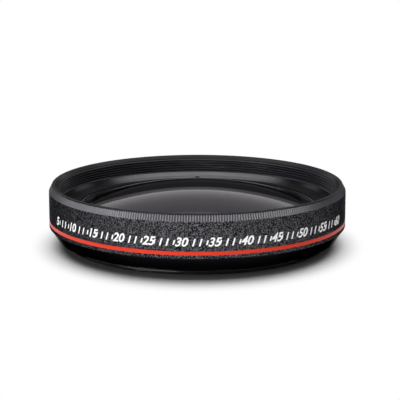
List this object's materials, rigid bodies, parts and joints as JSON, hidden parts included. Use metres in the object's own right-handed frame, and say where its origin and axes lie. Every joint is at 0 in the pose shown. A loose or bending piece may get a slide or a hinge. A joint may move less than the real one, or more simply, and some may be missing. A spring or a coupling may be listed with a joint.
{
  "type": "wide-angle conversion lens",
  "caption": "Round screw-on wide-angle conversion lens with a textured black barrel, red line, knurled rim, domed coated front glass and a male thread at the rear.",
  "frame": {"origin": "on the optical axis, in the plane of the rear end face of the male thread, on which the lens lies", "axes": "+Z along the optical axis towards the subject; X and Y are equal but for the spanner slots, which lie on the Y axis"},
  "size_m": [0.088, 0.088, 0.0184],
  "materials": {
    "textured_black": "fine crinkle paint on the band, knurl and rim satin",
    "red_paint": "satin paint in a turned groove",
    "gloss_black": "glossy black anodised",
    "matt_black": "matt black anodised",
    "gasket": "thin black washer",
    "coated_glass": "polished, purple-grey coating",
    "rear_glass": "polished, coated"
  },
  "bodies": {
    "root": {"front_barrel": "textured_black", "red_line": "red_paint", "front_element": "coated_glass", "front_gasket": "gasket", "front_retaining_ring": "gloss_black", "element_spacer": "matt_black", "rear_element": "rear_glass", "rear_retaining_ring": "matt_black", "rear_mount": "gloss_black"}
  },
  "joints": []
}
